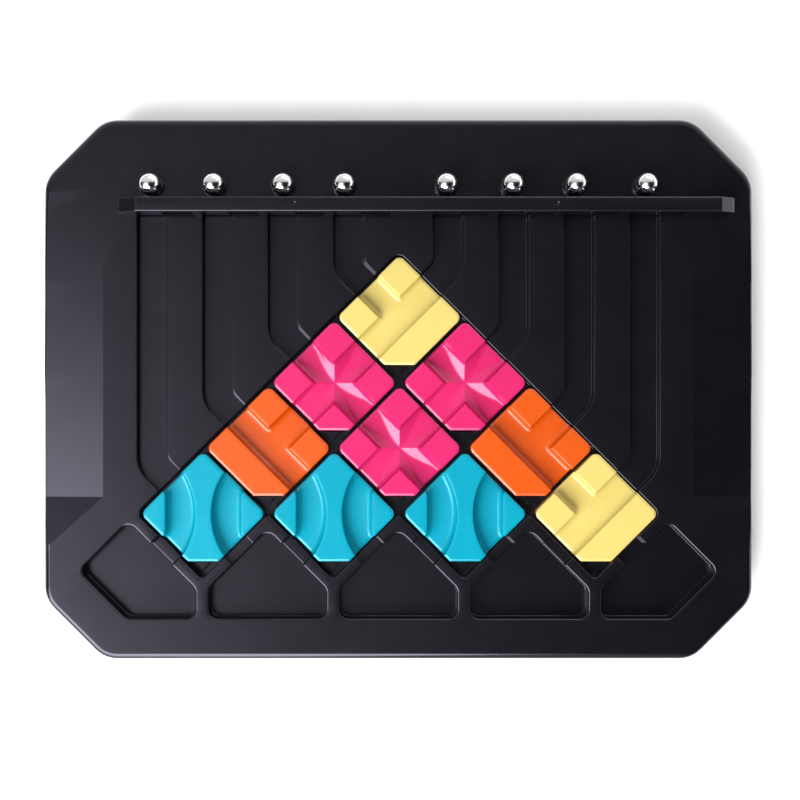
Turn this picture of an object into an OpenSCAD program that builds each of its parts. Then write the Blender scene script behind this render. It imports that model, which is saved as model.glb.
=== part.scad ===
// Marble track puzzle: a moulded board with eight tracks, ten lift-out track tiles,
// eight steel balls, a sliding release gate, and a closed base with two fold-out legs.
// Millimetres. +X is to the player's right, +Y to the back edge, +Z up from the table.

/* [Board] */
// Width of the board from side to side
board_w = 248; // [247:1:253]
// Depth of the board from back to front
board_d = 189; // [187:1:193]
// Height of the playing surface above the table
board_h = 16; // [16:0.5:20]
// Thickness of the moulded walls and floors
wall = 2; // [1.6:0.1:2]
// Length that a corner's 45 degree cut takes off each side
corner_cut = 21; // [19:0.5:22]
// Radius between a corner cut and the sides
corner_r = 11; // [8:0.5:12]
// Radius of the rounded rim
rim_r = 2; // [1:0.25:2]
// Depth of the sloped thumb rests at the board's sides
rest_drop = 2; // [1:0.25:2]

/* [Tiles] */
// Side of a tile's square
tile_side = 31; // [30.4:0.1:31.2]
// Spacing of the tile seats along a tile's side
tile_pitch = 32.4; // [32.2:0.1:32.6]
// Height of a tile above the playing surface
tile_proud = 0.5; // [0:0.1:1]
// Radius of a tile's round corners
tile_r = 2.4; // [1.5:0.1:3]
// Distance from a tile's centre to its cut corner
tile_cut = 16.6; // [16:0.1:17.5]

/* [Tracks] */
// Diameter of a steel ball
ball_d = 8; // [7:0.5:8]
// Width of a track
track_w = 10.4; // [10:0.1:10.4]
// Depth of a track below the playing surface
track_depth = 4; // [3.5:0.25:4]
// Depth of the tile seats and of the catch pockets
pocket_depth = 7.5; // [7:0.25:7.5]

/* [Gate] */
// Width of the gate bar
gate_w = 5.1; // [5:0.1:5.6]
// Length of the gate bar
gate_len = 214; // [212:1:216]
// Sideways travel of the gate from closed to open
gate_travel = 9.5; // [9:0.1:10]

/* [Legs] */
// Length of a fold-out leg from its pin to its tip
leg_len = 34; // [28:1:34]
// Width of a fold-out leg
leg_w = 26; // [20:1:26]

/* [Hidden] */
$fn = 48;

board_black = "#222228";
tile_yellow = "#f6df6f";
tile_pink = "#f0307c";
tile_orange = "#fb6a22";
tile_teal = "#17b4cf";

eps = 0.01;
arc_step = 8;                           // degrees that one facet of an outline's arc spans
step = tile_pitch / sqrt(2);            // seat spacing along X and along Y
rows = 4;
top_row_y = 25.2;                       // centre of the seat in the top row
bottom_row_y = top_row_y - (rows - 1) * step;
seat_gap = 0.8;                         // from a tile's side to the wall of the seats
seat_valley_r = 1.7;                    // where the wall turns at the foot of a front seat
seat_notch_r = 1.6;                     // where it turns back between two front seats
tile_rest_x = 0.45;                     // how far right of its seat's middle each loose tile lies
tile_wall = 1.8;                        // around and above the hollow under a tile
tile_cut_r = 1;                         // radius at both ends of a tile's cut corner
lies_on = 0.02;                         // under a loose tile or ball, so that it doesn't cut into the board
over = 1;                               // how far a cutting solid reaches past the face that it opens
fence_w = 0.5;                          // low fences between neighbouring seats
fence_h = 1.5;
fence_end = 3;                          // from a tile's corner to the end of the fence beside it
key_h = 3;                              // of the block that a tile's cut corner clears
key_w = 5.2;
key_near = 0.5;                         // from the cut corner to the key's two front points
key_far = 3.4;                          // and to its back point
track_floor_z = board_h - track_depth;
seat_floor_z = board_h - pocket_depth;
tile_top_z = board_h + tile_proud;

first_track_x = 17.45;                  // centre line of the track next to the middle
track_bend_r = 12;                      // outer wall's radius where a track turns
track_inner_r = 4;
track_overlap = 1.2;                    // how far a track or an outlet runs on into the next recess
track_back_y = 63.2;                    // a track runs on under the gate bar, into its groove

rib_w = 4.6;                            // between two pockets
pocket_wall = 4.7;                      // from a tile's side to a pocket's edge
pocket_front_y = -80.2;
pocket_r = 3.2;
end_pocket_back = 48.3;                 // Y - X along an end pocket's back edge
end_pocket_side = 175.5;                // -(X + Y) along an end pocket's slanted side

rest_x = 103.3;                         // inner edge of a thumb rest
rest_back_y = 69.8;
rest_low_y = -37.6;
rest_front_y = -57;
rest_strips = 10;                       // flat strips that make up the twist of a thumb rest

gate_y = 63.7;
gate_closed_x = gate_travel;            // centre of the bar when the gate is closed
gate_gap = 0.1;                         // under the bar
gate_window_h = ball_d + 0.6;
gate_top_z = board_h + gate_window_h + 1.6;
gate_bevel_l = [7.1, 5.5];              // length of the bevel at the bar's left and right end
gate_bevel_h = 4;
gate_window_w = 10.2;
mark_r = 0.5;                           // of the two round marks that the mould's pins leave on the bar
mark_y = 0.2;                           // from the bar's middle line to each mark
mark_depth = 0.3;
tongue_y = 64.2;
tongue_w = 2.8;
tongue_l = 190;
tongue_h = 2.4;
groove_gap = 0.2;
groove_z = board_h - tongue_h - 2 * groove_gap;
post_x = 45.3;                          // from the bar's centre to each post
post_r = 1.5;
post_end_z = board_h - 6.25;
pad_z = post_end_z + 0.05;              // underside of the slotted pads
pad_half_w = 4.6;
pad_end = 3;                            // from a slot's end to the end of the pad around it
washer_t = 0.8;
washer_r = 3.2;
gate_screw_r = 0.75;
gate_screw_head_r = 1.7;
gate_screw_head_h = 1.2;
gate_screw_l = 5;
gate_screw_spare = 0.4;                 // from a gate screw's tip to the end of its hole

cover_z = 1.5;
cover_t = wall;
cover_gap = 0.3;
boss_split_z = 6;                       // where a board boss meets a cover post
boss_r = 3.4;
cover_post_r = 4;
screw_r = 1.1;
screw_head_r = 2.5;
screw_head_z = [2.2, 4];
screw_end = 1;                          // from a screw's tip to the end of its hole
screw_places = [
    [112, 72], [-112, 72], [112, -72], [-112, -72], [0, 86], [0, -86.6], [114, 8], [-114, 8]
];

foot_r = 5;
foot_x = 100;
foot_y = 80;
foot_seat = 0.6;
foot_edge = 0.5;                        // of the slanted edge around a foot's underside

leg_x = 77;
leg_pin_y = 84;
leg_pin_z = 4.2;
leg_pin_r = 1;
pin_end_gap = 0.1;                      // from each end of a pin to the outside of its bay
leg_pin_gap = 0.06;                     // around the pin, in the leg
leg_barrel_r = 2.3;
leg_z = [1.9, 5.9];
leg_shell_wall = 3;                     // around the hollow in a leg's upper face
leg_shell_floor = 1.6;
leg_hollow_y = [7, 6];                  // from the leg's tip, and from its pin, to the hollow
leg_side_gap = 0.4;
leg_bay_wall = 2.2;
leg_bay_back_wall = 1.8;
leg_bay_roof = 1.5;
leg_bay_top_z = 6.8;
leg_bay_back = 3.6;                     // from the pin to the bay's back wall
leg_bay_finger = 5;                     // finger room past the leg's tip
leg_tip_r = 2;

function unit(v) = v / norm(v);
function last(list) = list[len(list) - 1];

// The arc of radius r that rounds the corner b between a and c
function corner_arc(a, b, c, r) =
    let (
        p = unit(a - b),
        q = unit(c - b),
        half = acos(p * q) / 2,
        centre = b + unit(p + q) * r / sin(half),
        from = b + p * r / tan(half) - centre,
        to = b + q * r / tan(half) - centre,
        start = atan2(from.y, from.x),
        sweep = atan2(cross(from, to), from * to),
        n = max(2, ceil(abs(sweep) / arc_step))
    )
    [for (i = [0 : n]) centre + r * [cos(start + sweep * i / n), sin(start + sweep * i / n)]];

// A closed outline whose corner i has radius radii[i], or a sharp corner where that is 0
function rounded(points, radii) =
    let (n = len(points))
    [for (i = [0 : n - 1])
        each radii[i] > 0
            ? corner_arc(points[(i + n - 1) % n], points[i], points[(i + 1) % n], radii[i])
            : [points[i]]];

function same(count, value) = [for (i = [1 : count]) value];
function flip_x(points) = [for (p = points) [-p.x, p.y]];

// ---- Outlines -------------------------------------------------------------------------

function board_outline(inset) =
    let (
        x = board_w / 2 - inset,
        y = board_d / 2 - inset,
        c = corner_cut - inset * (2 - sqrt(2))
    )
    rounded(
        [[x, y - c], [x - c, y], [c - x, y], [-x, y - c],
            [-x, c - y], [c - x, -y], [x - c, -y], [x, c - y]],
        same(8, corner_r - inset)
    );

// The outline of all ten seats as one recess, grown by the margin m
function seats_outline(m) =
    let (
        reach = (tile_side / 2 + seat_gap + m) * sqrt(2),
        corner = tile_r + seat_gap + m,
        notch_r = max(seat_notch_r - m, 0),
        zigzag = [for (k = [rows - 1 : -1 : 0])
            let (x = (2 * k - rows + 1) * step)
            each [[x, bottom_row_y - reach], [x - step, bottom_row_y - reach + step]]]
    )
    rounded(
        concat(
            [[0, top_row_y + reach], [(rows - 1) * step + reach, bottom_row_y]],
            [for (i = [0 : len(zigzag) - 2]) zigzag[i]],
            [[-(rows - 1) * step - reach, bottom_row_y]]
        ),
        concat(
            [corner, corner],
            [for (i = [0 : len(zigzag) - 2]) i % 2 == 0 ? seat_valley_r + m : notch_r],
            [corner]
        )
    );

// Pocket i of five, from the left, grown by the margin m
function pocket_outline(i, m) =
    i == 0 ? end_pocket_outline(m) : i == rows ? flip_x(end_pocket_outline(m)) : mid_pocket_outline(i, m);

function mid_pocket_outline(i, m) =
    let (
        x = (2 * i - rows) * step,
        reach = (tile_side / 2 + pocket_wall - m) * sqrt(2),
        half = step - rib_w / 2 + m,
        shoulder_y = bottom_row_y - reach + rib_w / 2 - m,
        front = pocket_front_y - m
    )
    rounded(
        [[x, bottom_row_y - reach + step], [x + half, shoulder_y], [x + half, front], [x - half, front],
            [x - half, shoulder_y]],
        same(5, pocket_r + m)
    );

function end_pocket_outline(m) =
    let (
        reach = (tile_side / 2 + pocket_wall - m) * sqrt(2),
        tile_x = -(rows - 1) * step,
        inner_x = tile_x - rib_w / 2 + m,
        inner_y = bottom_row_y - reach + rib_w / 2 - m,
        front = pocket_front_y - m,
        toward_tile = tile_x + bottom_row_y - reach,
        back = end_pocket_back + m * sqrt(2),
        side = end_pocket_side + m * sqrt(2)
    )
    rounded(
        [[(toward_tile - back) / 2, (toward_tile + back) / 2], [inner_x, inner_y], [inner_x, front],
            [-side - front, front], [(-side - back) / 2, (back - side) / 2]],
        same(5, pocket_r + m)
    );

// Track i of eight, grown by the margin m: four on the left, counted from the middle,
// then their mirror images
function track_outline(i, m) = i < rows ? left_track_outline(i, m) : flip_x(left_track_outline(i - rows, m));

function left_track_outline(i, m) =
    let (
        x = -first_track_x - i * step,
        half = track_w / 2 + m,
        bend = [x, top_row_y - i * step + first_track_x],
        shift = half * tan(22.5),
        along = [1, -1] / sqrt(2),
        across = [1, 1] / sqrt(2),
        run = (tile_side / 2 + seat_gap) / sqrt(2),
        end = [-i * step - run, top_row_y - i * step + run] + along * track_overlap,
        back = track_back_y + m
    )
    rounded(
        [[x + half, back], [x + half, bend.y + shift], end + across * half, end - across * half,
            [x - half, bend.y - shift], [x - half, back]],
        [0, max(track_inner_r - m, 0.5), 0, 0, track_bend_r + m, 0]
    );

function tile_outline(inset) =
    let (a = (tile_side / 2 - inset) * sqrt(2), cut = tile_cut - inset)
    rounded(
        [[0, a], [-a, 0], [cut - a, -cut], [a - cut, -cut], [a, 0]],
        [tile_r - inset, tile_r - inset, tile_cut_r, tile_cut_r, tile_r - inset]
    );

// ---- Board ----------------------------------------------------------------------------

module prism(z0, z1, outline) {
    translate([0, 0, z0])
        linear_extrude(z1 - z0)
            polygon(outline);
}

module block(x, y, z) {
    translate([x[0], y[0], z[0]])
        cube([x[1] - x[0], y[1] - y[0], z[1] - z[0]]);
}

module rim_body() {
    hull() {
        prism(cover_z, board_h - rim_r, board_outline(0));
        for (a = [22.5 : 22.5 : 90])
            prism(board_h - rim_r + rim_r * sin(a) - eps, board_h - rim_r + rim_r * sin(a),
                board_outline(rim_r * (1 - cos(a))));
    }
}

// Space above a thumb rest: it tilts more and more towards its lowest point on the board's right side
module thumb_rest_cut() {
    side_x = board_w / 2 + over;
    low = rest_drop * (side_x - rest_x) / (board_w / 2 - rest_x);
    n = rest_strips;
    inner = [for (i = [0 : n]) [rest_x, rest_back_y + (rest_low_y - rest_back_y) * i / n, board_h]];
    outer = [for (i = [0 : n]) [side_x, inner[i].y, board_h - low * i / n]];
    lid = [[rest_x, rest_back_y], [rest_x, rest_low_y], [side_x, rest_front_y], [side_x, rest_back_y]];
    front = 2 * n + 2;
    top = front + 1;
    polyhedron(
        concat(inner, outer, [[side_x, rest_front_y, board_h]], [for (p = lid) [p.x, p.y, board_h + over]]),
        concat(
            [for (i = [0 : n - 1]) each [[i + n + 1, i, i + n + 2], [i, i + 1, i + n + 2]]],
            [[n, front, front - 1], [top, top + 3, top + 2, top + 1]],
            [[0, n + 1, top + 3, top], [front, n, top + 1, top + 2]],
            [for (i = [0 : n - 1]) [top + 1, i + 1, i]], [[top + 1, 0, top]],
            [for (i = [n + 1 : front - 1]) [top + 3, i, i + 1]], [[top + 3, front, top + 2]]
        )
    );
}

// Hollow of the shell, lower under the thumb rests
module underside_hollow() {
    prism(0, board_h - wall - rest_drop, board_outline(wall));
    intersection() {
        prism(0, board_h - wall, board_outline(wall));
        block([-rest_x + wall, rest_x - wall], [-board_d, board_d], [0, board_h]);
    }
}

// Undersides of the recesses, which stand down inside the hollow
module recess_shells() {
    top = board_h - wall / 2;
    prism(seat_floor_z - wall, top, seats_outline(wall));
    for (i = [0 : rows])
        prism(seat_floor_z - wall, top, pocket_outline(i, wall));
    for (i = [0 : 2 * rows - 1])
        prism(track_floor_z - wall, top, track_outline(i, wall));
    groove_block(wall, groove_z - wall, top);
    for (side = [-1, 1])
        block(slot_span(side, pad_end), [tongue_y - pad_half_w, tongue_y + pad_half_w], [pad_z, top]);
    for (p = screw_places)
        translate([p.x, p.y, boss_split_z])
            cylinder(r = boss_r, h = board_h - wall - boss_split_z + eps);
}

module groove_block(m, z0, z1) {
    half = tongue_w / 2 + groove_gap + m;
    end = tongue_l / 2 + groove_gap + m;
    block([-end, end + gate_travel], [tongue_y - half, tongue_y + half], [z0, z1]);
}

function slot_span(side, m) =
    [side * post_x - post_r - groove_gap - m, side * post_x + gate_travel + post_r + groove_gap + m];

module track_cuts() {
    for (i = [0 : 2 * rows - 1])
        prism(track_floor_z, board_h + over, track_outline(i, 0));
}

// Short passages from the front row of seats into the pockets
module outlet_cuts() {
    for (k = [0 : rows - 1], side = [-1, 1])
        translate([(2 * k - rows + 1) * step, bottom_row_y, 0])
            rotate(side * 45 - 90)
                block([tile_side / 2, tile_side / 2 + pocket_wall + track_overlap],
                    [-track_w / 2, track_w / 2], [track_floor_z, board_h + over]);
}

module gate_slot_cuts() {
    groove_block(0, groove_z, board_h + over);
    for (side = [-1, 1])
        block(slot_span(side, 0), [tongue_y - post_r - groove_gap, tongue_y + post_r + groove_gap],
            [pad_z - over, board_h]);
}

// Low fences between neighbouring seats, and the key that a tile's cut corner clears
module seat_fences() {
    fence_l = tile_side - 2 * fence_end;
    for (r = [0 : rows - 2], c = [0 : r], side = [-1, 1])
        translate([(2 * c - r) * step, top_row_y - r * step, seat_floor_z - eps])
            rotate(side * 45 - 90)
                translate([tile_pitch / 2 - fence_w / 2, -fence_l / 2, 0])
                    cube([fence_w, fence_l, fence_h + eps]);
    for (r = [0 : rows - 1], c = [0 : r])
        translate([(2 * c - r) * step, top_row_y - r * step, 0])
            prism(seat_floor_z - eps, seat_floor_z + key_h,
                [[-key_w / 2, -tile_cut - key_near], [0, -tile_cut - key_far],
                    [key_w / 2, -tile_cut - key_near]]);
}

module top_board() {
    color(board_black) {
        difference() {
            union() {
                difference() {
                    rim_body();
                    underside_hollow();
                }
                intersection() {
                    recess_shells();
                    prism(cover_z, board_h, board_outline(wall / 2));
                }
            }
            prism(seat_floor_z, board_h + over, seats_outline(0));
            for (i = [0 : rows])
                prism(seat_floor_z, board_h + over, pocket_outline(i, 0));
            track_cuts();
            outlet_cuts();
            gate_slot_cuts();
            for (side = [0, 1])
                mirror([side, 0, 0]) thumb_rest_cut();
            for (p = screw_places)
                translate([p.x, p.y, 0])
                    cylinder(r = screw_r, h = board_h - wall - rest_drop);
        }
        seat_fences();
    }
}

// ---- Base -----------------------------------------------------------------------------

module leg_bay(side, m, z0, z1) {
    half = leg_w / 2 + leg_side_gap + m;
    block([side * leg_x - half, side * leg_x + half],
        [leg_pin_y - leg_len - leg_bay_finger - m, leg_pin_y + leg_bay_back + min(m, leg_bay_back_wall)],
        [z0, z1]);
}

module bottom_cover() {
    color(board_black)
        difference() {
            union() {
                prism(cover_z, cover_z + cover_t, board_outline(wall + cover_gap));
                for (side = [-1, 1])
                    leg_bay(side, leg_bay_wall, cover_z, leg_bay_top_z + leg_bay_roof);
                for (p = screw_places)
                    translate([p.x, p.y, cover_z])
                        cylinder(r = cover_post_r, h = boss_split_z - cover_z);
            }
            for (side = [-1, 1]) {
                leg_bay(side, 0, 0, leg_bay_top_z);
                translate([side * leg_x, leg_pin_y, leg_pin_z])
                    rotate([0, 90, 0])
                        cylinder(r = leg_pin_r, h = leg_w + 4 * leg_bay_wall, center = true);
            }
            for (p = screw_places)
                translate([p.x, p.y, 0]) {
                    cylinder(r = screw_r + cover_gap, h = board_h);
                    cylinder(r = screw_head_r + cover_gap, h = screw_head_z[1]);
                }
            for (x = [-foot_x, foot_x], y = [-foot_y, foot_y])
                translate([x, y, 0])
                    cylinder(r = foot_r, h = cover_z + foot_seat);
        }
}

module cross_recess(size, depth) {
    slot_w = 0.28 * size;
    for (a = [0, 90])
        rotate(a)
            translate([-size / 2, -slot_w / 2, -over])
                cube([size, slot_w, depth + over]);
}

// A screw that points up, with its head's face at z0
module screw(r, head_r, z0, z1, z2) {
    difference() {
        union() {
            translate([0, 0, z0]) cylinder(r = head_r, h = z1 - z0);
            translate([0, 0, z1 - eps]) cylinder(r = r, h = z2 - z1 + eps);
        }
        translate([0, 0, z0]) cross_recess(head_r * 1.3, (z1 - z0) * 0.55);
    }
}

module cover_screws() {
    color("silver")
        for (p = screw_places)
            translate([p.x, p.y, 0])
                screw(screw_r, screw_head_r, screw_head_z[0], screw_head_z[1],
                    board_h - wall - rest_drop - screw_end);
}

module foot(x, y) {
    color("dimgray")
        translate([x, y, 0]) {
            cylinder(r1 = foot_r - foot_edge, r2 = foot_r, h = foot_edge);
            translate([0, 0, foot_edge]) cylinder(r = foot_r, h = cover_z + foot_seat - foot_edge);
        }
}

module leg(side) {
    y0 = leg_pin_y - leg_len;
    color(board_black)
        translate([side * leg_x - leg_w / 2, 0, 0])
            difference() {
                union() {
                    block([0, leg_w], [y0 + leg_tip_r, leg_pin_y], leg_z);
                    translate([0, y0 + leg_tip_r, (leg_z[0] + leg_z[1]) / 2])
                        rotate([0, 90, 0])
                            cylinder(r = leg_tip_r, h = leg_w);
                    translate([0, leg_pin_y, leg_pin_z])
                        rotate([0, 90, 0])
                            cylinder(r = leg_barrel_r, h = leg_w);
                }
                translate([-over, leg_pin_y, leg_pin_z])
                    rotate([0, 90, 0])
                        cylinder(r = leg_pin_r + leg_pin_gap, h = leg_w + 2 * over);
                block([leg_shell_wall, leg_w - leg_shell_wall],
                    [y0 + leg_hollow_y[0], leg_pin_y - leg_hollow_y[1]],
                    [leg_z[0] + leg_shell_floor, leg_z[1] + over]);
            }
}

module leg_pin(side) {
    length = leg_w + 2 * leg_side_gap + 2 * leg_bay_wall - 2 * pin_end_gap;
    color("silver")
        translate([side * leg_x, leg_pin_y, leg_pin_z])
            rotate([0, 90, 0])
                cylinder(r = leg_pin_r, h = length, center = true);
}

// ---- Gate -----------------------------------------------------------------------------

module gate_bar() {
    half = gate_len / 2;
    back = tongue_y - gate_y;
    z0 = board_h + gate_gap;
    color(board_black)
        translate([gate_closed_x, gate_y, 0])
            difference() {
                union() {
                    translate([0, gate_w / 2, 0])
                        rotate([90, 0, 0])
                            linear_extrude(gate_w)
                                polygon([
                                    [-half, z0], [half, z0], [half, gate_top_z - gate_bevel_h],
                                    [half - gate_bevel_l[1], gate_top_z],
                                    [gate_bevel_l[0] - half, gate_top_z],
                                    [-half, gate_top_z - gate_bevel_h]
                                ]);
                    block([-tongue_l / 2, tongue_l / 2], [back - tongue_w / 2, back + tongue_w / 2],
                        [board_h - tongue_h, z0 + over]);
                    for (side = [-1, 1])
                        translate([side * post_x, back, post_end_z])
                            cylinder(r = post_r, h = board_h - tongue_h - post_end_z + over);
                }
                for (i = [0 : rows - 1], side = [-1, 1])
                    translate([side * (first_track_x + i * step) - gate_window_w / 2, -gate_w, board_h])
                        cube([gate_window_w, 2 * gate_w, gate_window_h]);
                for (side = [-1, 1])
                    translate([side * post_x, 0, 0]) {
                        translate([0, back, post_end_z - over])
                            cylinder(r = gate_screw_r, h = over + gate_screw_l - washer_t + gate_screw_spare);
                        translate([0, mark_y, gate_top_z - mark_depth])
                            cylinder(r = mark_r, h = over);
                    }
            }
}

module gate_washers() {
    color("silver")
        for (side = [-1, 1])
            translate([gate_closed_x + side * post_x, tongue_y, post_end_z - washer_t])
                difference() {
                    cylinder(r = washer_r, h = washer_t);
                    translate([0, 0, -over])
                        cylinder(r = gate_screw_r + groove_gap, h = washer_t + 2 * over);
                }
}

module gate_screws() {
    head_z = post_end_z - washer_t;
    color("silver")
        for (side = [-1, 1])
            translate([gate_closed_x + side * post_x, tongue_y, 0])
                screw(gate_screw_r, gate_screw_head_r,
                    head_z - gate_screw_head_h, head_z, head_z + gate_screw_l);
}

// ---- Tiles ----------------------------------------------------------------------------

// [node name, kind, row, place in the row]
tiles = [
    ["tile_01_merge_left", "merge_left", 0, 0],
    ["tile_02_crossing", "crossing", 1, 0],
    ["tile_03_crossing", "crossing", 1, 1],
    ["tile_04_merge_right", "merge_right", 2, 0],
    ["tile_05_crossing", "crossing", 2, 1],
    ["tile_06_merge_right", "merge_right", 2, 2],
    ["tile_07_bounce", "bounce", 3, 0],
    ["tile_08_bounce", "bounce", 3, 1],
    ["tile_09_bounce", "bounce", 3, 2],
    ["tile_10_merge_left", "merge_left", 3, 3]
];

bounce_waist = 2.75;                    // half of the raised band's width at its waist
bounce_chord = 13.2;                    // from the tile's centre to a corner block
bounce_r = 14;
ridge_overlap = 0.8;                    // how far a crossing's ridge reaches into its corner block
ridge_sink = 0.3;                       // of its underside into the floor, and of its top below the tile's

// A ball's way straight through from one side of a tile to the other, or to the middle
module straight_groove(angle, from) {
    rotate(angle)
        block([from, tile_side], [-track_w / 2, track_w / 2], [track_floor_z, tile_top_z + over]);
}

// The groove that sends a ball back out on the left, around the tile's left corner
function bounce_outline() =
    let (
        out = (tile_side / 2 + 2 * over) / sqrt(2),
        half = track_w / 2 / sqrt(2),
        mouth = [-out + half, out + half],
        bend_y = mouth.y + mouth.x + bounce_waist
    )
    rounded(
        [mouth, [-bounce_waist, bend_y], [-bounce_waist, -bend_y], [mouth.x, -mouth.y],
            [-bounce_chord, -tile_side], [-bounce_chord, tile_side]],
        [0, bounce_r, bounce_r, 0, 0, 0]
    );

// Four ridges that fall from the corner blocks to the crossing's middle
module crossing_ridges() {
    end = track_w / 2 + ridge_overlap;
    foot = 0.3 * end;
    base_z = track_floor_z - ridge_sink;
    for (a = [0 : 90 : 270])
        rotate(a)
            polyhedron(
                [[0, 0, base_z], [end, foot, base_z], [end, end, base_z], [foot, end, base_z],
                    [end, end, tile_top_z - ridge_sink]],
                [[0, 1, 2, 3], [1, 0, 4], [2, 1, 4], [3, 2, 4], [0, 3, 4]]
            );
}

module tile_grooves(kind) {
    if (kind == "bounce")
        for (side = [0, 1])
            mirror([side, 0, 0]) prism(track_floor_z, tile_top_z + over, bounce_outline());
    else {
        turn = kind == "merge_left" ? 90 : 0;
        straight_groove(-45 - turn, -tile_side);
        straight_groove(45 + turn, kind == "crossing" ? -tile_side : 0);
    }
}

module tile(spec) {
    kind = spec[1];
    row = spec[2];
    shade = kind == "bounce" ? tile_teal : kind == "crossing" ? tile_pink
        : kind == "merge_left" ? tile_yellow : tile_orange;
    color(shade)
        translate([(2 * spec[3] - row) * step + tile_rest_x, top_row_y - row * step, 0]) {
            difference() {
                prism(seat_floor_z + lies_on, tile_top_z, tile_outline(0));
                prism(seat_floor_z - over, track_floor_z - tile_wall, tile_outline(tile_wall));
                tile_grooves(kind);
            }
            if (kind == "crossing")
                rotate(45) crossing_ridges();
        }
}

// ---- Balls ----------------------------------------------------------------------------

// Where each ball waits behind the gate, sideways from its track's centre line
ball_offsets = [-0.3, -1.1, 0.1, -1.4, -0.7, -0.5, -1.4, 0.3];
ball_back = 1.1;                        // from the bar to each ball

module ball(i) {
    side = i < rows ? -1 : 1;
    track = i < rows ? rows - 1 - i : i - rows;
    color("white")
        translate([side * (first_track_x + track * step) + ball_offsets[i],
            gate_y + gate_w / 2 + ball_d / 2 + ball_back, board_h + ball_d / 2 + lies_on])
            sphere(d = ball_d);
}

// ---- Nodes ----------------------------------------------------------------------------

top_board();
bottom_cover();
cover_screws();
gate_bar();
gate_screws();
gate_washers();
for (spec = tiles)
    tile(spec);
for (i = [0 : 2 * rows - 1])
    ball(i);
leg(-1);  // left_leg
leg(1);  // right_leg
leg_pin(-1);  // left_leg_pin
leg_pin(1);  // right_leg_pin
foot(-foot_x, foot_y);  // foot_back_left
foot(foot_x, foot_y);  // foot_back_right
foot(-foot_x, -foot_y);  // foot_front_left
foot(foot_x, -foot_y);  // foot_front_right
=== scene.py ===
"""Looks of the marble-track tile puzzle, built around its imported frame. In metres, with +Z up."""

import math

import bmesh
import bpy
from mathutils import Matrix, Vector


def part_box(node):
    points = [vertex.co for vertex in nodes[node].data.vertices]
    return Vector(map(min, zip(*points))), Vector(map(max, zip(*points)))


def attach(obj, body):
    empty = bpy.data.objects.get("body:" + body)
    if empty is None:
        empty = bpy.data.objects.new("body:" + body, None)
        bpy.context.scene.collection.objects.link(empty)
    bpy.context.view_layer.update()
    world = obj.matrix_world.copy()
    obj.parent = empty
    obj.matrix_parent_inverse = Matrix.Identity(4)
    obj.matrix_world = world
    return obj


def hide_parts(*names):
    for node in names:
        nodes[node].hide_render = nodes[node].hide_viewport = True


MM = 0.001
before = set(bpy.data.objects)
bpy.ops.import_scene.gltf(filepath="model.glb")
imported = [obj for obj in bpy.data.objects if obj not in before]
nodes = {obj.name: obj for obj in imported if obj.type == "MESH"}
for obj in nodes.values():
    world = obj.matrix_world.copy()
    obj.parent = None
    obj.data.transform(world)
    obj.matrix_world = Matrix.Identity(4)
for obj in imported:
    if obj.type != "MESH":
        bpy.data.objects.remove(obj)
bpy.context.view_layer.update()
scene = bpy.context.scene

# ---- Sizes that the frame gives -------------------------------------------------------

surface_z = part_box("top_board")[1].z                    # the board's playing surface
first_tile_low, first_tile_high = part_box("tile_01_merge_left")
tile_top_z = first_tile_high.z
tile_bottom_z = first_tile_low.z
TRACK_DEPTH = 4 * MM
REST_DROP = 2 * MM                                      # of a thumb rest at its lowest point
track_floor_z = surface_z - TRACK_DEPTH
seat_floor_z = tile_bottom_z
rest_floor_z = surface_z - REST_DROP


# ---- Materials ------------------------------------------------------------------------

class Nodes:
    """A small helper that adds shader nodes to one material."""

    def __init__(self, material):
        material.use_nodes = True
        self.tree = material.node_tree
        self.shader = self.tree.nodes["Principled BSDF"]

    def add(self, kind, **values):
        node = self.tree.nodes.new(kind)
        for name, value in values.items():
            if name in node.inputs:
                node.inputs[name].default_value = value
            else:
                setattr(node, name, value)
        return node

    def link(self, source, output, target, socket):
        self.tree.links.new(source.outputs[output], target.inputs[socket])


NOISE_LOW, NOISE_HIGH = 0.3, 0.7        # between which most of a noise texture's values lie


def noise(n, scale, detail, rough):
    """A noise over the object's own coordinates; its scale is in waves per metre."""
    where = n.add("ShaderNodeTexCoord")
    node = n.add("ShaderNodeTexNoise", Scale=scale, Detail=detail, Roughness=rough)
    n.link(where, "Object", node, "Vector")
    return node


def uneven_gloss(n, scale, detail, rough, levels):
    """A roughness that wanders between two levels."""
    node = n.add("ShaderNodeMapRange")
    node.inputs["From Min"].default_value = NOISE_LOW
    node.inputs["From Max"].default_value = NOISE_HIGH
    node.inputs["To Min"].default_value, node.inputs["To Max"].default_value = levels
    n.link(noise(n, scale, detail, rough), "Fac", node, "Value")
    n.link(node, "Result", n.shader, "Roughness")


def mottle(n, colour, darker, scale):
    """Varies a colour a little over the surface, as a moulding's flow lines do."""
    ramp = n.add("ShaderNodeValToRGB")
    ramp.color_ramp.elements[0].position = NOISE_LOW
    ramp.color_ramp.elements[1].position = NOISE_HIGH
    ramp.color_ramp.elements[0].color = (*[c * darker for c in colour], 1)
    ramp.color_ramp.elements[1].color = (*colour, 1)
    n.link(noise(n, scale, 4.0, 0.6), "Fac", ramp, "Fac")
    n.link(ramp, "Color", n.shader, "Base Color")


def bumps(n, layers):
    """Chains bump nodes: each layer is (noise scale, detail, strength, height in metres)."""
    previous = None
    for scale, detail, strength, height in layers:
        grain = noise(n, scale, detail, 0.55)
        bump = n.add("ShaderNodeBump", Strength=strength, Distance=height)
        n.link(grain, "Fac", bump, "Height")
        if previous:
            n.link(previous, "Normal", bump, "Normal")
        previous = bump
    n.link(previous, "Normal", n.shader, "Normal")


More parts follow.
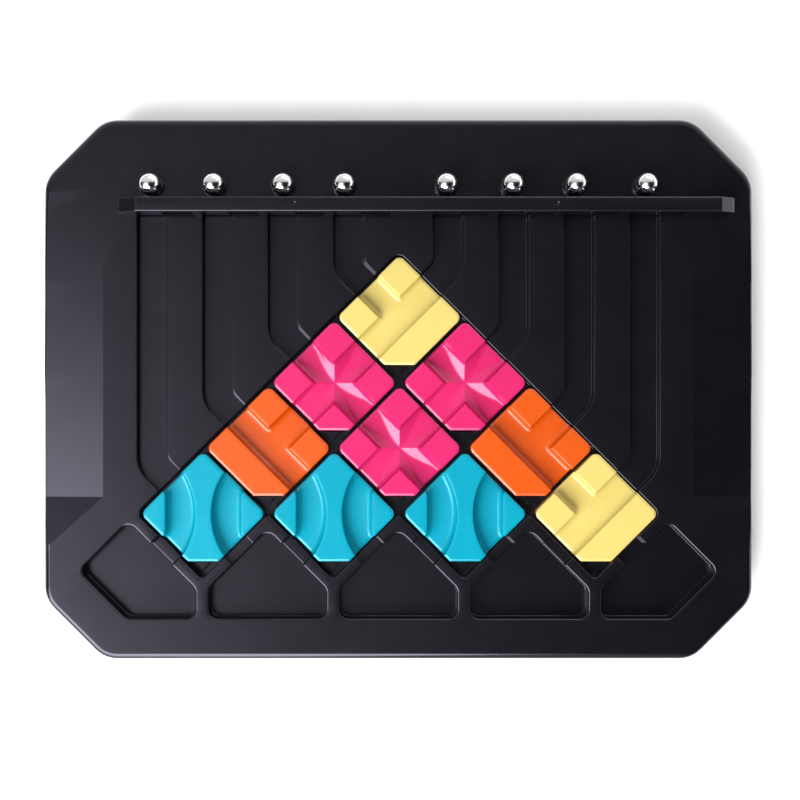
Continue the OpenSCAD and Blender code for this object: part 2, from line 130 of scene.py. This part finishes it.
def plastic(name, colour, rough, darker, texture=0.25, tint=(1, 1, 1)):
    """Injection-moulded ABS: slow waves from the mould, fine texture, and uneven gloss."""
    material = bpy.data.materials.new(name)
    n = Nodes(material)
    mottle(n, colour, darker, 38)
    uneven_gloss(n, 90, 5.0, 0.65, rough)
    n.shader.inputs["IOR"].default_value = 1.52
    n.shader.inputs["Specular Tint"].default_value = (*tint, 1)
    bumps(n, [(28, 2.0, 0.35, 0.00012), (5200, 2.0, texture, 0.000012)])
    return material


def metal(name, colour, rough, brushed=0.0):
    """Bare steel with a fine uneven gloss."""
    material = bpy.data.materials.new(name)
    n = Nodes(material)
    n.shader.inputs["Metallic"].default_value = 1.0
    mottle(n, colour, 0.9, 120)
    uneven_gloss(n, 420, 4.0, 0.6, rough)
    bumps(n, [(900, 3.0, 0.1 + brushed, 0.000006)])
    return material


def rubber(name):
    material = bpy.data.materials.new(name)
    n = Nodes(material)
    mottle(n, (0.028, 0.028, 0.030), 0.7, 300)
    uneven_gloss(n, 700, 4.0, 0.6, (0.62, 0.85))
    bumps(n, [(2600, 3.0, 0.5, 0.00004)])
    return material


black = plastic(
    "black_abs", (0.0034, 0.0032, 0.0046), rough=(0.15, 0.20), darker=0.7, texture=0.4,
    tint=(0.82, 0.80, 1.0))
yellow = plastic("yellow_abs", (0.51, 0.406, 0.117), rough=(0.20, 0.28), darker=0.96)
pink = plastic(
    "pink_abs", (0.48, 0.0145, 0.103), rough=(0.15, 0.21), darker=0.93, tint=(1, 0.82, 0.96))
orange = plastic("orange_abs", (0.49, 0.065, 0.002), rough=(0.20, 0.27), darker=0.94)
teal = plastic("teal_abs", (0.001, 0.235, 0.332), rough=(0.18, 0.26), darker=0.92, tint=(0.5, 1, 1))
polished = metal("polished_steel", (0.80, 0.79, 0.79), (0.03, 0.07))
plated = metal("plated_steel", (0.55, 0.55, 0.57), (0.22, 0.38), brushed=0.3)
foot_rubber = rubber("foot_rubber")


def paint(thing, material):
    thing.data.materials.clear()
    thing.data.materials.append(material)


# ---- Outlines and profiles (in millimetres) -------------------------------------------

def corner_arc(before, corner, after, radius, step_deg=7.5):
    """Points of the arc that rounds a corner of an outline."""
    p = (before - corner).normalized()
    q = (after - corner).normalized()
    half = p.angle(q) / 2
    centre = corner + (p + q).normalized() * radius / math.sin(half)
    start = corner + p * radius / math.tan(half) - centre
    end = corner + q * radius / math.tan(half) - centre
    turn = math.atan2(start.x * end.y - start.y * end.x, start.dot(end))
    count = max(3, math.ceil(abs(math.degrees(turn)) / step_deg - 0.01))
    first = math.atan2(start.y, start.x)
    angles = [first + turn * i / count for i in range(count + 1)]
    return [centre + radius * Vector((math.cos(a), math.sin(a))) for a in angles]


def rounded(points, radii):
    """A closed outline with each corner rounded by its own radius."""
    outline = []
    count = len(points)
    for i, point in enumerate(points):
        outline += corner_arc(points[i - 1], point, points[(i + 1) % count], radii[i])
    return outline


def wall_profile(depth, top_r, floor_r, draft_deg):
    """Samples (distance into a groove, height) across its wall, with both fillets."""
    turn = math.radians(90 - draft_deg)
    run = depth * math.tan(math.radians(draft_deg))
    top_x = -top_r * math.tan(turn / 2)
    floor_x = run + floor_r * math.tan(turn / 2)
    steps = [turn * i / 6 for i in range(7)]
    top = [(top_x + top_r * math.sin(a), top_r * math.cos(a) - top_r) for a in steps]
    floor = [
        (floor_x - floor_r * math.sin(a), floor_r - floor_r * math.cos(a) - depth)
        for a in reversed(steps)
    ]
    return top + floor


def height_in(profile, distance):
    """Height of the profile at a distance into the groove."""
    if distance <= profile[0][0]:
        return 0.0
    for (x0, z0), (x1, z1) in zip(profile, profile[1:]):
        if distance <= x1:
            return z0 + (z1 - z0) * (distance - x0) / (x1 - x0)
    return profile[-1][1]


# ---- Track tiles ----------------------------------------------------------------------

RIM_W = 0.86                            # of a tile's rim: a shallow slope, then a small radius
RIM_BEND = 0.12                         # width of the small curve in which that slope starts
RIM_SLOPE = 0.38
RIM_EDGE_R = 0.28
TILE_CORNER_R = 2.4
TILE_CUT_R = 1.0                        # at the two ends of a tile's cut corner
TILE_WALL = 1.8
TILE_FOOT = 0.3                         # width of the bevel around a tile's underside
TILE_CREASE = math.radians(38)          # edges of a tile sharper than this aren't shaded smooth
GROOVE_HALF_W = 5.2
BLOCK_X = 5.4                           # from a crossing's middle to its corner blocks
# From a tile's middle to its rounded corners, to where its sides would meet, and to its cut corner
tile_reach = (first_tile_high.x - first_tile_low.x) / 2 / MM
tile_half = tile_reach + TILE_CORNER_R * (math.sqrt(2) - 1)
tile_cut = (first_tile_high.y - first_tile_low.y) / MM - tile_reach
groove_depth = (tile_top_z - track_floor_z) / MM
tile_height = (tile_top_z - tile_bottom_z) / MM
groove = wall_profile(groove_depth, top_r=0.38, floor_r=1.7, draft_deg=5)


def tile_outline(inset):
    """A square on its corner with rounded corners, the front one cut off."""
    a = tile_half - inset * math.sqrt(2)
    cut = tile_cut - inset
    corners = [(0, a), (-a, 0), (cut - a, -cut), (a - cut, -cut), (a, 0)]
    big = TILE_CORNER_R - inset
    small = max(TILE_CUT_R - inset, 0.1)
    return rounded([Vector(c) for c in corners], [big, big, small, small, big])


def merge_height(along, branch):
    """A straight groove with a branch that joins it from one side."""
    strip = GROOVE_HALF_W + branch
    side = GROOVE_HALF_W - abs(along)
    end = GROOVE_HALF_W - branch
    blocks = max(side, end) if side <= 0 and end <= 0 else math.hypot(max(side, 0), max(end, 0))
    return height_in(groove, min(strip, blocks))


def smooth_max(a, b, soft):
    """The larger of two heights, with the corner between them rounded."""
    h = max(soft - abs(a - b), 0.0) / soft
    return max(a, b) + h * h * soft / 4


FLANK_SLOPE = 0.42                      # of the wide, gently sloped sides of a crossing's ridges
FLOOR_SPREAD = 0.06                     # how fast the floor widens from a crossing's middle
FLOOR_FLARE = 0.018                     # and how much faster further out
WALL_POWER = 5                          # how steeply a corner block's wall rises at its corner
WALL_GROWTH = 0.1                       # and how much steeper, for each millimetre further out
WALL_REACH = 1.3                        # the wall's curve ends here, above the tile's top


def crossing_height(u, v):
    """Two grooves that cross: ridges with gentle flanks fall from the corners to the middle."""
    along, side = max(abs(u), abs(v)), min(abs(u), abs(v))
    floor_half_w = FLOOR_SPREAD * along + FLOOR_FLARE * along ** 2
    flank = smooth_max(FLANK_SLOPE * (side - floor_half_w), 0.0, soft=0.2)
    power = WALL_POWER * math.exp(WALL_GROWTH * max(along - BLOCK_X, 0))
    wall = groove_depth * min(side / BLOCK_X, WALL_REACH) ** power
    height = smooth_max(flank, wall, soft=0.3)
    return -smooth_max(groove_depth - height, 0.0, soft=0.12)


BOUNCE_WAIST = 2.75                     # half the ridge between a bounce tile's tracks, at its waist
BOUNCE_ARC_R = 26.0                     # of the tracks' inner walls
BOUNCE_ARC_END = 24.0                   # how far from the waist the arcs are followed
BOUNCE_CHORD = 13.3                     # from the tile's middle to a track's straight outer wall
CHORD_FLARE = 0.9                       # how far the outer wall bends out where it meets the sides
CHORD_POWER = 8                         # how late along the wall that bend comes
CHORD_END = 1.2                         # where the bend stops, in half lengths of the wall


def arc_height(y):
    """How far along the arc a height over the waist lies, kept within the arc."""
    return min(abs(y), BOUNCE_ARC_END)


def bounce_arc(y):
    """Distance from the tile's middle line to a track's inner wall."""
    return BOUNCE_WAIST + BOUNCE_ARC_R - math.sqrt(BOUNCE_ARC_R ** 2 - arc_height(y) ** 2)


def bounce_chord(y):
    """Distance from the tile's middle line to a track's outer wall."""
    half_chord = tile_half - BOUNCE_CHORD
    return BOUNCE_CHORD + CHORD_FLARE * min(abs(y) / half_chord, CHORD_END) ** CHORD_POWER


def arc_lean(y):
    """Cosine of the angle between the inner wall's normal and the x axis."""
    return math.cos(math.asin(arc_height(y) / BOUNCE_ARC_R))


def bounce_height(x, y):
    """Two curved tracks, one on each side of a narrow-waisted ridge."""
    x = abs(x)
    return height_in(groove, min((x - bounce_arc(y)) * arc_lean(y), bounce_chord(y) - x))


def spread(start, end, pitch):
    """Evenly spaced values from the start up to, but without, the end."""
    count = max(1, math.ceil(abs(end - start) / pitch))
    return [start + (end - start) * i / count for i in range(count)]


def wall_lines(half_width, reach, pitch):
    """Grid lines across a groove: close together on its walls, and wider elsewhere."""
    inner = half_width - groove[-1][0]
    lines = spread(0, inner, pitch) + [half_width - d for d, z in reversed(groove)]
    lines += spread(lines[-1], reach, pitch)[1:] + [reach]
    return sorted({round(s * x, 6) for x in lines for s in (-1, 1)})


GRID_SPARE = 1.0                        # how far each tile's grid reaches past its sides
MERGE_PITCH = 1.2
CROSSING_PITCH = 0.36
BOUNCE_ROWS = 72


def merge_grid():
    reach = tile_half / math.sqrt(2) + GRID_SPARE
    lines = wall_lines(GROOVE_HALF_W, reach, MERGE_PITCH)
    return [[(s, b) for s in lines] for b in lines]


def crossing_grid():
    reach = tile_half / math.sqrt(2) + GRID_SPARE
    half = spread(0, BLOCK_X, CROSSING_PITCH) + spread(BLOCK_X, reach, CROSSING_PITCH) + [reach]
    lines = sorted({round(s * x, 6) for x in half for s in (-1, 1)})
    return [[(u, v) for u in lines] for v in lines]


def bounce_grid():
    """Rows of points that follow the curved walls, close together across their fillets."""
    rows = []
    reach = tile_half + GRID_SPARE
    for j in range(BOUNCE_ROWS + 1):
        y = reach * (2 * j / BOUNCE_ROWS - 1)
        arc, chord = bounce_arc(y), bounce_chord(y)
        near = [arc + d / arc_lean(y) for d, z in groove]
        far = [chord - d for d, z in reversed(groove)]
        middle = (near[-1] + far[0]) / 2
        near = [min(x, middle) for x in near]
        far = [max(x, middle) for x in far]
        half = [near[0] * 0.4, near[0] * 0.75] + near + [middle] + far
        half += [far[-1] + (reach - far[-1]) * t for t in (0.3, 0.6, 1.0)]
        rows.append([(s * x, y) for s, side in ((-1, reversed(half)), (1, half)) for x in side])
        rows[-1].insert(len(half), (0.0, y))
    return rows


def tile_mesh(name, grid, place, height):
    """A tile's whole closed shape: the track on top, the rim, sides and a hollow underside."""
    bm = bmesh.new()
    rows = [[bm.verts.new((*place(a, b), 0)) for a, b in row] for row in grid]
    for low, high in zip(rows, rows[1:]):
        for i in range(len(low) - 1):
            bm.faces.new((low[i], low[i + 1], high[i + 1], high[i]))
    bmesh.ops.remove_doubles(bm, verts=bm.verts, dist=1e-5)
    bmesh.ops.recalc_face_normals(bm, faces=bm.faces)
    inner = tile_outline(RIM_W)
    outer = tile_outline(0)
    for i, here in enumerate(inner):
        along = inner[(i + 1) % len(inner)] - here
        bmesh.ops.bisect_plane(
            bm, geom=bm.verts[:] + bm.edges[:] + bm.faces[:], dist=1e-5,
            plane_co=(here.x, here.y, 0), plane_no=(along.y, -along.x, 0), clear_outer=True,
        )
    for vert in bm.verts:
        vert.co.z = height(vert.co.x, vert.co.y)
    add_rim(bm, inner, outer)
    bmesh.ops.recalc_face_normals(bm, faces=bm.faces)
    bmesh.ops.scale(bm, vec=(MM, MM, MM), verts=bm.verts)
    mesh = bpy.data.meshes.new(name)
    bm.to_mesh(mesh)
    bm.free()
    for face in mesh.polygons:
        face.use_smooth = True
    mesh.set_sharp_from_angle(angle=TILE_CREASE)
    return mesh


def boundary_loop(bm):
    """The open edge's vertices, in order."""
    edges = [e for e in bm.edges if e.is_boundary]
    loop = [edges[0].verts[0], edges[0].verts[1]]
    previous = edges[0]
    while True:
        nxt = next(e for e in loop[-1].link_edges if e.is_boundary and e is not previous)
        vert = nxt.other_vert(loop[-1])
        if vert is loop[0]:
            return loop
        loop.append(vert)
        previous = nxt


def outward(point, inner, outer):
    """From a point on the inner outline to the matching place on the outer one."""
    best = None
    for i, a in enumerate(inner):
        b = inner[(i + 1) % len(inner)]
        along = b - a
        t = min(max((point - a).dot(along) / along.length_squared, 0), 1)
        gap = (a + along * t - point).length
        if best is None or gap < best[0]:
            c, d = outer[i], outer[(i + 1) % len(inner)]
            best = (gap, (c - a) * (1 - t) + (d - b) * t)
    return best[1]


def rim_profile():
    """Points (distance outward, drop) of a tile's rim, from its top face to its side."""
    lean = math.atan(RIM_SLOPE)
    points = [(RIM_BEND * t, RIM_SLOPE * RIM_BEND * t * t / 2) for t in (0.35, 0.7, 1.0)]
    edge_x = RIM_W - RIM_EDGE_R * (1 - math.sin(lean))
    edge_drop = points[-1][1] + RIM_SLOPE * (edge_x - RIM_BEND)
    points.append((edge_x, edge_drop))
    arc_steps = 4
    for step in range(1, arc_steps + 1):
        angle = lean + (math.pi / 2 - lean) * step / arc_steps
        points.append((edge_x + RIM_EDGE_R * (math.sin(angle) - math.sin(lean)),
                       edge_drop + RIM_EDGE_R * (math.cos(lean) - math.cos(angle))))
    return points


def add_rim(bm, inner, outer):
    """Closes a tile from the edge of its track surface: rim, sides, foot and hollow underside."""
    loop = boundary_loop(bm)
    push = [outward(v.co.xy, inner, outer) for v in loop]
    tops = [v.co.copy() for v in loop]

    def ring(shift, level):
        return [
            bm.verts.new((top.x + out.x * shift, top.y + out.y * shift, level(top.z)))
            for top, out in zip(tops, push)
        ]

    def join(a, b):
        for i in range(len(a)):
            k = (i + 1) % len(a)
            bm.faces.new((a[i], a[k], b[k], b[i]))
        return b

    last = loop
    for shift, drop in rim_profile():
        last = join(last, ring(shift / RIM_W, lambda z: z - drop))
    hollow = 1 - TILE_WALL / RIM_W
    last = join(last, ring(1, lambda z: TILE_FOOT - tile_height))
    last = join(last, ring(1 - TILE_FOOT / RIM_W, lambda z: -tile_height))
    last = join(last, ring(hollow, lambda z: -tile_height))
    last = join(last, ring(hollow, lambda z: -groove_depth - TILE_WALL))
    bm.faces.new(last)


def turned(side, x, y):
    """(along, branch) of a merge tile; side is 1 where the branch comes from the right."""
    return (side * x - y) / math.sqrt(2), (side * x + y) / math.sqrt(2)


def placed(side, along, branch):
    """The reverse of turned: (x, y) on the tile."""
    return side * (along + branch) / math.sqrt(2), (branch - along) / math.sqrt(2)


tile_shapes = {
    "merge_left": tile_mesh(
        "merge_left", merge_grid(), lambda a, b: placed(-1, a, b),
        lambda x, y: merge_height(*turned(-1, x, y))),
    "merge_right": tile_mesh(
        "merge_right", merge_grid(), lambda a, b: placed(1, a, b),
        lambda x, y: merge_height(*turned(1, x, y))),
    "crossing": tile_mesh(
        "crossing", crossing_grid(), lambda a, b: placed(1, a, b),
        lambda x, y: crossing_height(*turned(1, x, y))),
    "bounce": tile_mesh("bounce", bounce_grid(), lambda a, b: (a, b), bounce_height),
}
tile_plastics = {"merge_left": yellow, "merge_right": orange, "crossing": pink, "bounce": teal}

for node in sorted(n for n in nodes if n.startswith("tile_")):
    kind = node.split("_", 2)[2]
    low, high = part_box(node)
    tile = bpy.data.objects.new(node.replace("tile_", "track_tile_"), tile_shapes[kind].copy())
    scene.collection.objects.link(tile)
    tile.location = ((low.x + high.x) / 2, low.y + tile_cut * MM, tile_top_z)
    paint(tile, tile_plastics[kind])
    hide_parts(node)
    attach(tile, "_".join(node.split("_")[:2]))


# ---- Board, gate, legs and fasteners --------------------------------------------------

SHARP_EDGE = math.radians(25)           # edges sharper than this get a fillet
CREASE = math.radians(1.5)              # shallow edges sharper than this stay crisp
NEARLY_LEVEL = 0.97                     # least upward part of the normal of a nearly level face
LEVEL = 0.99999                         # and of a level one
TILTED_BACK = 0.05                      # least backward part of the normal of a face tilted back
FLAT = math.radians(0.4)                # the CAD mesh's edges shallower than this are left out
TWIST = math.radians(2.5)               # between the two triangles of a thumb rest's twisted strip
FILLET_STEPS = 3
CLOSE = 0.1 * MM                        # how near an edge lies to its level or side
EXACT = 0.02 * MM                       # and how near where other edges are close by


def edge_widths(bm, rule):
    """Sets each sharp edge's share of the widest fillet, from the rule, and gives that width."""
    layer = bm.edges.layers.float.new("bevel_weight_edge")
    sharp = [e for e in bm.edges if len(e.link_faces) == 2 and e.calc_face_angle() > SHARP_EDGE]
    widths = {edge: rule(edge) for edge in sharp}
    widest = max(widths.values())
    for edge, width in widths.items():
        edge[layer] = width / widest
    return widest


def mark_creases(bm):
    """Keeps the shallow creases between nearly level faces crisp, as on the thumb rests."""
    for edge in bm.edges:
        faces = edge.link_faces
        if len(faces) == 2 and min(face.normal.z for face in faces) > NEARLY_LEVEL:
            edge.smooth = edge.calc_face_angle() < CREASE


def faces_back(face):
    """Whether a face is a thumb rest's low front slope: nearly level, and tilted to the back."""
    return face.normal.z > NEARLY_LEVEL and face.normal.y > TILTED_BACK


def join_twisted_strips(bm):
    """Joins the two triangles of each strip of a thumb rest, so that its twist shades evenly."""
    side = max(v.co.x for v in bm.verts) - EXACT
    ends = [v for v in bm.verts if abs(v.co.x) > side and abs(v.co.z - rest_floor_z) < CLOSE]
    bmesh.ops.remove_doubles(bm, verts=ends, dist=0.6 * MM)
    strips = [face for face in bm.faces if len(face.verts) == 3
              and NEARLY_LEVEL < face.normal.z < LEVEL and not faces_back(face)]
    bmesh.ops.join_triangles(
        bm, faces=strips, angle_face_threshold=TWIST, angle_shape_threshold=math.pi)


def softened(node, name, rule):
    """A CAD node's shape with moulded edges: each sharp edge gets the rule's fillet."""
    bm = bmesh.new()
    bm.from_mesh(nodes[node].data)
    bmesh.ops.remove_doubles(bm, verts=bm.verts, dist=2e-6)
    bmesh.ops.dissolve_limit(
        bm, angle_limit=FLAT, verts=bm.verts, edges=bm.edges, delimit={"NORMAL"})
    bmesh.ops.triangulate(bm, faces=[f for f in bm.faces if len(f.verts) > 4])
    join_twisted_strips(bm)
    widest = edge_widths(bm, rule)
    mark_creases(bm)
    mesh = bpy.data.meshes.new(name)
    bm.to_mesh(mesh)
    bm.free()
    piece = bpy.data.objects.new(name, mesh)
    scene.collection.objects.link(piece)
    bevel = piece.modifiers.new("fillets", "BEVEL")
    bevel.limit_method = "WEIGHT"
    bevel.width = widest * MM
    bevel.segments = FILLET_STEPS
    bevel.use_clamp_overlap = False
    bevel.miter_outer = "MITER_SHARP"
    bevel.loop_slide = False
    for face in mesh.polygons:
        face.use_smooth = not faces_back(face)
    weighted = piece.modifiers.new("even_shading", "WEIGHTED_NORMAL")
    weighted.weight = 100
    weighted.keep_sharp = True
    return piece


front_tiles = ("tile_07_bounce", "tile_08_bounce", "tile_09_bounce", "tile_10_merge_left")
front_seats = [(low + high) / 2 for low, high in map(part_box, front_tiles)]
OUTLET_REACH = 19.5 * MM                # from a front seat's middle to beyond its outlets
FENCE_REACH = 3 * MM                    # above the seats' floor, over the fences
POCKET_EDGE_R = 0.7                     # fillets, in millimetres
TRACK_EDGE_R = 0.42
TRACK_FLOOR_R = 0.45
SEAT_FLOOR_R = 0.2
WALL_CORNER_R = 0.5
FENCE_R = 0.15


def seat_distance(point):
    """Distance from the nearest front seat's middle, square to the seat's sides."""
    reach = min(abs(point.x - seat.x) + abs(point.y - seat.y) for seat in front_seats)
    return reach / math.sqrt(2)


def board_fillet(edge):
    """Wide fillets on the pockets' edges, thinner ones on the tracks and floors."""
    middle = (edge.verts[0].co + edge.verts[1].co) / 2
    z = middle.z
    if z > surface_z - CLOSE:
        in_pocket = middle.y < front_seats[0].y and seat_distance(middle) > OUTLET_REACH
        return POCKET_EDGE_R if in_pocket else TRACK_EDGE_R
    if abs(z - track_floor_z) < EXACT:
        return TRACK_FLOOR_R
    if abs(z - seat_floor_z) < EXACT:
        return SEAT_FLOOR_R
    if z > seat_floor_z:
        return WALL_CORNER_R if z > seat_floor_z + FENCE_REACH else FENCE_R
    return 0.0


board = softened("top_board", "moulded_board", board_fillet)
paint(board, black)
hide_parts("top_board")
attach(board, "board")

gate_low, gate_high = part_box("gate_bar")
gate_middle = (gate_low + gate_high) / 2
gate_half = (gate_high - gate_low) / 2
BEVEL_END_R = 1.0                       # fillets, in millimetres
BAR_TOP_R = 0.5
BAR_EDGE_R = 0.3


def gate_fillet(edge):
    """Wide fillets at the low ends of the bar's bevels, and narrower ones along its top."""
    a, b = (v.co - gate_middle for v in edge.verts)
    at_end = min(abs(a.x), abs(b.x)) > gate_half.x - CLOSE
    if at_end and abs(a.z - b.z) < CLOSE and a.z > 0:
        return BEVEL_END_R
    along_side = min(abs(a.y), abs(b.y)) > gate_half.y - CLOSE
    if along_side and min(a.z, b.z) > gate_half.z - CLOSE:
        return BAR_TOP_R
    return BAR_EDGE_R


gate = softened("gate_bar", "moulded_gate_bar", gate_fillet)
paint(gate, black)
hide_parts("gate_bar")
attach(gate, "gate")

for node in ("bottom_cover", "left_leg", "right_leg"):
    paint(nodes[node], black)
for node in ("cover_screws", "gate_screws", "gate_washers", "left_leg_pin", "right_leg_pin"):
    paint(nodes[node], plated)
for node in nodes:
    if node.startswith("foot_"):
        paint(nodes[node], foot_rubber)
    if node.startswith("ball_"):
        paint(nodes[node], polished)


# ---- Floor, lights and camera ---------------------------------------------------------

def make_floor():
    """A plain pale floor that reaches far past the object."""
    material = bpy.data.materials.new("pale_floor")
    n = Nodes(material)
    mottle(n, (0.93, 0.93, 0.93), 0.985, 5)
    n.shader.inputs["Roughness"].default_value = 0.9
    n.shader.inputs["Specular IOR Level"].default_value = 0.1
    mesh = bpy.data.meshes.new("floor")
    far = 4.0
    corners = [(-far, -far, 0), (far, -far, 0), (far, far, 0), (-far, far, 0)]
    mesh.from_pydata(corners, [], [(0, 1, 2, 3)])
    floor = bpy.data.objects.new("floor", mesh)
    scene.collection.objects.link(floor)
    paint(floor, material)


def area_light(name, place, size, power):
    """A soft rectangular light that faces the middle of the board."""
    light = bpy.data.lights.new(name, "AREA")
    light.shape = "RECTANGLE"
    light.size, light.size_y = size
    light.energy = power
    lamp = bpy.data.objects.new(name, light)
    scene.collection.objects.link(lamp)
    lamp.location = place
    lamp.rotation_euler = (-Vector(place)).to_track_quat("-Z", "Y").to_euler()


def ramp(tree, source, stops):
    """A smooth curve of grey levels over a value: stops are (value from -1 to 1, level)."""
    shift = tree.nodes.new("ShaderNodeMath")
    shift.operation = "MULTIPLY_ADD"
    shift.inputs[1].default_value = 0.5
    shift.inputs[2].default_value = 0.5
    tree.links.new(source.outputs["Value"], shift.inputs[0])
    node = tree.nodes.new("ShaderNodeValToRGB")
    node.color_ramp.interpolation = "B_SPLINE"
    points = node.color_ramp.elements
    while len(points) < len(stops):
        points.new(0.5)
    for point, (value, level) in zip(points, stops):
        point.position = (value + 1) / 2
        point.color = (level, level, level, 1)
    tree.links.new(shift.outputs[0], node.inputs[0])
    return node


def facing(tree, where, direction):
    """How far each direction of the room leans towards the given one."""
    node = tree.nodes.new("ShaderNodeVectorMath")
    node.operation = "DOT_PRODUCT"
    node.inputs[1].default_value = direction
    tree.links.new(where.outputs["Generated"], node.inputs[0])
    return node


def combine(tree, operation, a, b):
    """The product or the larger of two levels."""
    node = tree.nodes.new("ShaderNodeVectorMath")
    node.operation = operation
    tree.links.new(a.outputs[0], node.inputs[0])
    tree.links.new(b.outputs[0], node.inputs[1])
    return node


ROOM_LIGHT = 6.0                        # brightness of a level of 1 in the room
GLOW_AZIMUTH = math.radians(215)        # of the large soft panel, at the front left


def make_room():
    """A dark room: a large soft panel at the front left, a dim back wall, a pale right side."""
    world = bpy.data.worlds.new("room")
    scene.world = world
    world.use_nodes = True
    tree = world.node_tree
    where = tree.nodes.new("ShaderNodeTexCoord")
    out, along = math.cos(GLOW_AZIMUTH), math.sin(GLOW_AZIMUTH)
    panel_height = ramp(tree, facing(tree, where, (out, along, 0)), [
        (-1, 0.01), (-0.6, 0.008), (-0.2, 0.013), (-0.05, 0.03), (0.12, 0.11), (0.21, 0.26),
        (0.28, 0.45), (0.36, 0.78), (0.5, 0.95), (0.66, 0.55), (0.8, 0.10), (1, 0.05)])
    panel_width = ramp(tree, facing(tree, where, (along, -out, 0)), [
        (-0.7, 0.15), (-0.25, 0.23), (-0.16, 0.34), (-0.09, 0.58), (-0.04, 0.8), (0.01, 1),
        (0.16, 1), (0.22, 0.85), (0.3, 0.4), (0.4, 0.1), (0.6, 0.04)])
    panel = combine(tree, "MULTIPLY", panel_height, panel_width)
    wall = ramp(tree, facing(tree, where, (0, 1, 0)), [
        (0.16, 0), (0.22, 0.05), (0.3, 0.13), (1, 0.16)])
    band_height = ramp(tree, facing(tree, where, (0, 0, 1)), [(0.1, 1), (0.26, 1), (0.36, 0)])
    band_width = ramp(tree, facing(tree, where, (1, 0, 0)), [
        (0.3, 0), (0.6, 0.06), (0.85, 0.25), (1, 0.34)])
    band = combine(tree, "MULTIPLY", band_height, band_width)
    light = combine(tree, "MAXIMUM", combine(tree, "MAXIMUM", panel, wall), band)
    shade = tree.nodes["Background"]
    tree.links.new(light.outputs[0], shade.inputs["Color"])
    shade.inputs["Strength"].default_value = ROOM_LIGHT


CAMERA_HEIGHT = 0.55                    # above the playing surface
VIEW_WIDTH = 0.2799                     # of the playing surface, from edge to edge of the picture
CAMERA_X = 0.0006
CAMERA_Y = -0.0037
SENSOR = 36.0

make_floor()
make_room()
area_light("key", (-0.42, -0.62, 0.64), size=(1.0, 0.78), power=24)
area_light("back", (0.32, 0.86, 0.42), size=(0.9, 0.30), power=3.5)

camera_data = bpy.data.cameras.new("camera")
camera_data.sensor_width = SENSOR
camera_data.lens = SENSOR * CAMERA_HEIGHT / VIEW_WIDTH
camera = bpy.data.objects.new("camera", camera_data)
scene.collection.objects.link(camera)
camera.location = (CAMERA_X, CAMERA_Y, surface_z + CAMERA_HEIGHT)
scene.camera = camera

scene.view_settings.view_transform = "Standard"
